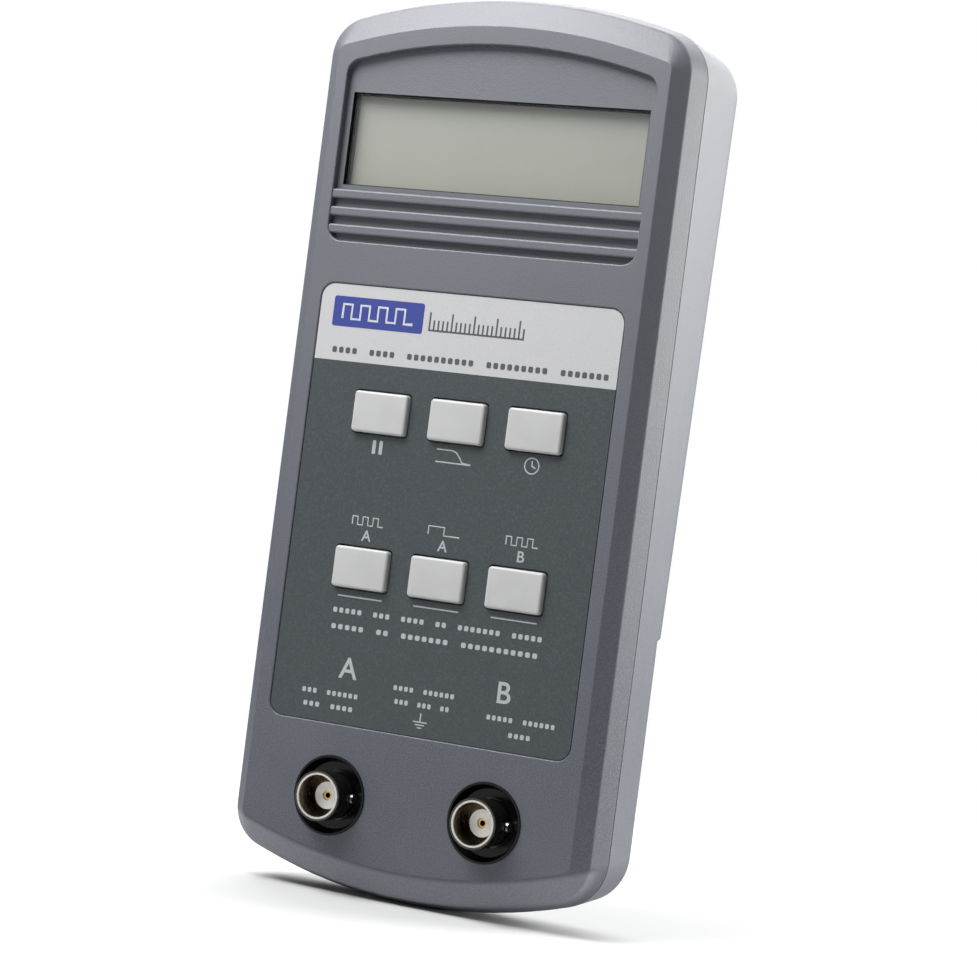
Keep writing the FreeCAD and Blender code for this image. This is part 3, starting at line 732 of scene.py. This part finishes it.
def ink_letter(text, x, z, size):
    """Printed letter, centred on a point of the label."""
    deselect()
    bpy.ops.object.text_add(location=(0, 0, 0))
    piece = bpy.context.object
    piece.data.body = text
    piece.data.size = size
    piece.data.align_x = "CENTER"
    piece.data.align_y = "CENTER"
    piece.data.extrude = sizes().ink_thick
    piece.data.offset = size * 0.012
    piece.rotation_euler = (math.pi / 2, 0, 0)
    bpy.ops.object.convert(target="MESH")
    piece = bpy.context.object
    piece.location = (x * MM, LABEL_Y, z * MM)
    return settle(piece, "letter")


def ink_rows(left, right, z, tall, words):
    """Row of short bars in groups, between two sideways places."""
    gap = 1.6
    steps = sum(words) + gap * (len(words) - 1)
    pitch = (right - left) / steps
    bars = []
    for count in words:
        for step in range(count):
            bars.append(ink_bar(left + (step + 0.5) * pitch, z, 0.66 * pitch, tall, 0.3))
        left += (count + gap) * pitch
    return bars


def square_wave(left, z, wide, tall, periods):
    """Points of a square wave that starts at its left end."""
    step = wide / (2 * periods)
    points = [(left, z - tall / 2)]
    for count in range(2 * periods):
        level = z + tall / 2 if count % 2 == 0 else z - tall / 2
        points.append((left + count * step, level))
        points.append((left + (count + 1) * step, level))
    points.append((left + wide, z - tall / 2))
    return [point for count, point in enumerate(points) if not count or point != points[count - 1]]


def key_centres():
    """Sideways place and height of each key's middle, in millimetres."""
    return [((low.x + high.x) / 2 / MM, (low.z + high.z) / 2 / MM) for low, high in KEY_BOXES]


# ---------------------------------------------------------------- operators


class COUNTER_OT_case(bpy.types.Operator):
    """Front and rear shells, battery door and screws"""

    bl_idname = "counter.case"
    bl_label = "Case"

    def execute(self, context):
        plastic = moulded_case()
        carry("front_case", "case_front", plastic, "case_grey", 24)
        carry("rear_case", "case_back", plastic, "case_grey", 24)
        carry("battery_door", "door", plastic, "case_grey", 24)
        steel = bright_metal("screw_steel", (0.42, 0.42, 0.44), 0.28)
        carry("case_screws", "screws_back", steel, "steel")
        return {"FINISHED"}


class COUNTER_OT_display(bpy.types.Operator):
    """Window, liquid crystal display and its black frame"""

    bl_idname = "counter.display"
    bl_label = "Display"

    def shade_sheet(self):
        """Black sheet over the walls of the opening in the case, put there as painted shade."""
        low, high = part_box("display_window")
        edge = Vector((0.6 * MM, 0, 1.2 * MM))
        start = Vector((-high.x, FACE_Y + 1.54 * MM, low.z)) + edge
        end = Vector((high.x, low.y - 0.02 * MM, high.z)) - edge
        piece = new_box("window_shade_sheet", start, end)
        select_faces(piece, lambda spot, normal: abs(normal.y) > 0.9)
        bpy.ops.mesh.delete(type="FACE")
        bpy.ops.object.mode_set(mode="OBJECT")
        wall = piece.modifiers.new("wall", "SOLIDIFY")
        wall.thickness = 0.12 * MM
        bpy.ops.object.modifier_apply(modifier=wall.name)
        return piece

    def execute(self, context):
        # Painted shade: a black sheet lines the walls of the display opening.
        shade_sheet = self.shade_sheet()
        paint(shade_sheet, black_plastic("shade_sheet_black", 0.1, (0.002, 0.002, 0.002, 1), 0.08))
        mount(shade_sheet, "case", "black_matt")
        carry("display_window", "window", clear_window(), "window_clear")
        carry("lcd_glass", "display_glass", liquid_crystal(), "lcd")
        frame_black = black_plastic("frame_black", 0.2, (0.003, 0.003, 0.003, 1), 0.1)
        carry("lcd_bezel", "display_frame", frame_black, "black_matt")
        return {"FINISHED"}


class COUNTER_OT_label(bpy.types.Operator):
    """Film label with its pale header"""

    bl_idname = "counter.label"
    bl_label = "Label"

    def execute(self, context):
        carry("front_label", "label", label_film(), "label_dark")
        return {"FINISHED"}


class COUNTER_OT_printing(bpy.types.Operator):
    """Marks printed on the label"""

    bl_idname = "counter.printing"
    bl_label = "Printing"

    def key_marks(self, centres):
        """Signs under the upper keys and over the lower keys."""
        hold_x, filter_x, time_x = [x for x, z in centres[:3]]
        z = centres[0][1] - SIGN_DROP
        marks = [ink_bar(hold_x - 0.75, z, 0.75, 2.7), ink_bar(hold_x + 0.75, z, 0.75, 2.7)]
        marks.append(ink_path([(filter_x + x, z + rise) for x, rise in FILTER_SLOPE]))
        marks.append(ink_path([(filter_x - 3.8, z - 1.3), (filter_x + 3.8, z - 1.3)]))
        marks.append(ink_ring(time_x, z, 1.5))
        marks.append(ink_path([(time_x, z + 1.0), (time_x, z), (time_x + 0.8, z - 0.4)]))
        for (x, key_z), letter, periods in zip(centres[3:], "AAB", (3, 1, 3)):
            marks.append(ink_path(square_wave(x - 3.4, key_z + WAVE_RISE, 6.8, 1.6, periods)))
            marks.append(ink_letter(letter, x + 0.05, key_z + CHANNEL_RISE, sizes().channel_size))
            marks.append(ink_bar(x + 0.3, key_z - LINE_DROP, 9.8, 0.28, 0.4))
        return marks

    def input_marks(self):
        """Letters over the sockets, plain rows between them and the earth sign."""
        marks = []
        for row in INPUT_ROWS:
            marks += ink_rows(*row)
        for letter in SOCKETS:
            x = socket_axis(letter)[0] / MM
            marks.append(ink_letter(letter.upper(), x + 0.6, LETTER_HEIGHT, sizes().letter_size))
        x, foot = EARTH_SPOT
        marks.append(ink_path([(x, foot + 1.7), (x, foot)]))
        for row, half in enumerate(EARTH_BARS):
            marks.append(ink_bar(x, foot - row * 0.55, 2 * half, 0.24))
        return marks

    def header_marks(self):
        """Graduated scale and rows on the pale header."""
        marks = []
        for count in range(SCALE_TICKS):
            tall = 3.4 if count % 5 == 0 else 1.9
            x = SCALE_LEFT + count * SCALE_PITCH
            marks.append(ink_bar(x, SCALE_FOOT + tall / 2, 0.34, tall, 0.2))
        middle = SCALE_LEFT + (SCALE_TICKS - 1) / 2 * SCALE_PITCH
        marks.append(ink_bar(middle, SCALE_FOOT - 0.1, 20.7, 0.34, 0.2))
        return marks + ink_rows(*HEADER_ROW)

    def execute(self, context):
        pale = join(self.key_marks(key_centres()) + self.input_marks(), "print_pale")
        paint(pale, ink("ink_pale", colour("pale_ink")))
        dark = join(self.header_marks(), "print_dark")
        paint(dark, ink("ink_dark", colour("dark_ink")))
        block = join([ink_bar(*BLOCK_SPOT, 20.1, 5.9, 0.08)], "print_blue")
        paint(block, ink("ink_blue", colour("blue_ink")))
        trace = ink_path(square_wave(-27.6, BLOCK_SPOT[1], 15.7, 2.8, 4), 0.55 * MM)
        trace.location.y = -sizes().ink_thick
        trace = settle(trace, "print_trace")
        paint(trace, ink("ink_white", (0.36, 0.37, 0.39, 1)))
        for piece in (pale, dark, block, trace):
            smooth(piece, 30)
            mount(piece, "case", "label_dark")
        return {"FINISHED"}


class COUNTER_OT_keys(bpy.types.Operator):
    """Six keys with a crowned cap, a retaining flange and a stem"""

    bl_idname = "counter.keys"
    bl_label = "Keys"

    @staticmethod
    def on_rim(point, low, high, rim, tall):
        """True for a point on the outline of the cap."""
        side = abs(abs(point.x - (low.x + high.x) / 2) - rim)
        end = abs(abs(point.z - (low.z + high.z) / 2) - tall)
        corner = sizes().key_corner
        return side < EPS or end < EPS or (side < corner * 0.35 and end < corner * 0.9) or (
            end < corner * 0.35 and side < corner * 0.9)

    def cap(self):
        """The first key, shaped from a flange upwards."""
        low, high = KEY_BOXES[0]
        back = FACE_Y + FLANGE_BACK
        front = back - FLANGE_THICK
        piece = new_box(
            "key_cap_1", Vector((low.x, front, low.z)), Vector((high.x, back, high.z)))
        select_faces(piece, lambda spot, normal: normal.y < -0.9)
        bpy.ops.mesh.inset(thickness=KEY_FLANGE)
        extrude(0, low.y - front, 0)
        for share in CROWN_SHARES:
            bpy.ops.mesh.inset(thickness=CROWN_STEP)
            bpy.ops.transform.translate(value=(0, -sizes().key_crown * share, 0))
        select_edges(piece, lambda a, b: abs(a.y - b.y) > MM and min(a.y, b.y) < low.y + EPS)
        bpy.ops.mesh.bevel(offset=sizes().key_corner, segments=4, affect="EDGES")
        rim = (high.x - low.x) / 2 - KEY_FLANGE
        tall = (high.z - low.z) / 2 - KEY_FLANGE
        select_edges(piece, lambda a, b: abs(a.y - low.y) < EPS and abs(b.y - low.y) < EPS and (
            self.on_rim(a, low, high, rim, tall) and self.on_rim(b, low, high, rim, tall)))
        bpy.ops.mesh.bevel(offset=sizes().key_edge, segments=4, affect="EDGES")
        select_faces(piece, lambda spot, normal: normal.y > 0.9)
        bpy.ops.mesh.inset(thickness=POCKET_WALL)
        extrude(0, -POCKET_DEEP, 0)
        bpy.ops.mesh.inset(thickness=STEM_INSET)
        extrude(0, STEM_LONG, 0)
        bpy.ops.object.mode_set(mode="OBJECT")
        return piece

    def execute(self, context):
        first = self.cap()
        material = key_plastic()
        paint(first, material)
        smooth(first, 40)
        home = (KEY_BOXES[0][0] + KEY_BOXES[0][1]) / 2
        caps = [first]
        for number, (low, high) in enumerate(KEY_BOXES[1:], start=2):
            shift = (low + high) / 2 - home
            caps.append(copy_to(first, "key_cap_%d" % number, shift))
        stems = black_plastic("plunger_black", 0.5)
        for number, piece in enumerate(caps, start=1):
            mount(piece, "key_%d" % number, "key_grey", "keycap_%d" % number)
            dress(stems, "switch_plunger_%d" % number)
        return {"FINISHED"}


class COUNTER_OT_sockets(bpy.types.Operator):
    """Two input sockets in their black collars"""

    bl_idname = "counter.sockets"
    bl_label = "Sockets"

    def execute(self, context):
        nickel = nickel_barrel()
        white = white_insulator()
        gold = bright_metal("gold_plate", (0.42, 0.29, 0.12), 0.22)
        black = black_plastic("collar_black", 0.80, (0.003, 0.003, 0.003, 1), 0.16)
        for letter in SOCKETS:
            carry("socket_body_" + letter, "barrel_" + letter, nickel, "nickel", 40)
            carry("socket_insulator_" + letter, "insulator_" + letter, white, "white_plastic", 40)
            carry("socket_contact_" + letter, "contact_" + letter, gold, "gold_contact", 40)
            carry("socket_collar_" + letter, "collar_" + letter, black, "black_plastic", 30)
        return {"FINISHED"}


class COUNTER_OT_insides(bpy.types.Operator):
    """Finishes of the board, its components, the battery and the contacts"""

    bl_idname = "counter.insides"
    bl_label = "Insides"

    def execute(self, context):
        dress(circuit_board(), "main_pcb")
        dress(black_plastic("chip_black", 0.3), "counter_chip", "control_chip", "prescaler_chip",
              "switch_bodies", "power_regulator")
        dress(black_plastic("sleeve_black", 0.55, (0.02, 0.02, 0.03, 1)), "capacitors")
        dress(bright_metal("tin_plate", (0.62, 0.62, 0.60), 0.30), "shield_can", "crystal_can",
              "lcd_pins", "input_links", "terminal_studs")
        dress(bright_metal("bright_steel", (0.50, 0.50, 0.52), 0.25), "board_screws",
              "socket_nuts", "socket_washers")
        dress(black_plastic("terminal_board_black", 0.2), "terminal_board")
        dress(soft_foam(), "door_pad")
        carry("battery", "battery_block", battery_jacket(), "battery_jacket")
        return {"FINISHED"}


class COUNTER_OT_stage(bpy.types.Operator):
    """Pale floor, soft lights and the camera"""

    bl_idname = "counter.stage"
    bl_label = "Stage"

    def look(self, item, eye, target, roll=0.0):
        """Place a lamp or camera and turn it to a point."""
        turn = (target - eye).to_track_quat("-Z", "Y") @ Quaternion((0, 0, 1), roll)
        item.location = eye
        item.rotation_euler = turn.to_euler()

    def direction(self, azimuth, elevation):
        """Unit vector from the counter towards a lamp or the camera."""
        turn = math.radians(azimuth)
        rise = math.radians(elevation)
        flat = math.cos(rise)
        return Vector((math.sin(turn) * flat, -math.cos(turn) * flat, math.sin(rise)))

    def softbox(self, name, azimuth, elevation, distance, wide, tall, watts):
        """Rectangular soft lamp that faces the counter."""
        lamp = bpy.data.lights.new(name, "AREA")
        lamp.shape = "RECTANGLE"
        lamp.size = wide
        lamp.size_y = tall
        lamp.energy = watts
        item = bpy.data.objects.new(name, lamp)
        bpy.context.scene.collection.objects.link(item)
        middle = (PART_BOX[0] + PART_BOX[1]) / 2
        self.look(item, middle + self.direction(azimuth, elevation) * distance, middle)

    def floor(self):
        """Large pale sheet under the counter."""
        deselect()
        bpy.ops.mesh.primitive_plane_add(
            size=FLOOR_SIZE, location=(0, 0, PART_BOX[0].z - FLOOR_DROP))
        sheet = settle(bpy.context.object, "floor")
        paint(sheet, pale_sheet())

    def surround(self):
        """Even studio surround, white behind the counter and dimmer as a light."""
        world = bpy.data.worlds.new("surround")
        bpy.context.scene.world = world
        world.use_nodes = True
        tree = world.node_tree
        glow = tree.nodes["Background"]
        glow.inputs["Color"].default_value = (0.94, 0.97, 1.0, 1)
        glow.inputs["Strength"].default_value = GLOW_STRENGTH
        paper = tree.nodes.new("ShaderNodeBackground")
        paper.inputs["Color"].default_value = (1, 1, 1, 1)
        paper.inputs["Strength"].default_value = 1.0
        path = tree.nodes.new("ShaderNodeLightPath")
        blend = tree.nodes.new("ShaderNodeMixShader")
        tree.links.new(path.outputs["Is Camera Ray"], blend.inputs[0])
        tree.links.new(glow.outputs[0], blend.inputs[1])
        tree.links.new(paper.outputs[0], blend.inputs[2])
        tree.links.new(blend.outputs[0], tree.nodes["World Output"].inputs["Surface"])

    def camera(self):
        """Long lens a little to the right, level with the keys and rolled."""
        lens = bpy.data.cameras.new("camera")
        lens.lens = LENS
        lens.sensor_width = SENSOR
        lens.clip_start = 0.01
        item = bpy.data.objects.new("camera", lens)
        bpy.context.scene.collection.objects.link(item)
        target = Vector(CAMERA_TARGET)
        eye = target + self.direction(*CAMERA_TURN) * CAMERA_DISTANCE
        self.look(item, eye, target, math.radians(CAMERA_ROLL))
        bpy.context.scene.camera = item

    def execute(self, context):
        bpy.context.scene.view_settings.view_transform = "Standard"
        self.floor()
        self.surround()
        for lamp in LAMPS:
            self.softbox(*lamp)
        self.camera()
        return {"FINISHED"}


class COUNTER_PT_panel(bpy.types.Panel):
    """Sidebar panel that lists the pieces"""

    bl_label = "Frequency Counter"
    bl_idname = "COUNTER_PT_panel"
    bl_space_type = "VIEW_3D"
    bl_region_type = "UI"
    bl_category = "Counter"

    def draw(self, context):
        for group in (context.scene.counter_sizes, context.scene.counter_colours):
            for key in group.__annotations__:
                self.layout.prop(group, key)
        for step in STEPS:
            self.layout.operator(step.bl_idname)


STEPS = (
    COUNTER_OT_case,
    COUNTER_OT_display,
    COUNTER_OT_label,
    COUNTER_OT_printing,
    COUNTER_OT_keys,
    COUNTER_OT_sockets,
    COUNTER_OT_insides,
    COUNTER_OT_stage,
)
CLASSES = (CounterSizes, CounterColours, *STEPS, COUNTER_PT_panel)


def register():
    """Make the settings, operators and panel known."""
    for item in CLASSES:
        bpy.utils.register_class(item)
    bpy.types.Scene.counter_sizes = bpy.props.PointerProperty(type=CounterSizes)
    bpy.types.Scene.counter_colours = bpy.props.PointerProperty(type=CounterColours)


def unregister():
    """Forget the settings, operators and panel."""
    del bpy.types.Scene.counter_sizes
    del bpy.types.Scene.counter_colours
    for item in reversed(CLASSES):
        bpy.utils.unregister_class(item)


def main():
    """Build every piece."""
    register()
    for step in STEPS:
        group, name = step.bl_idname.split(".")
        getattr(getattr(bpy.ops, group), name)()


if __name__ == "__main__":
    main()
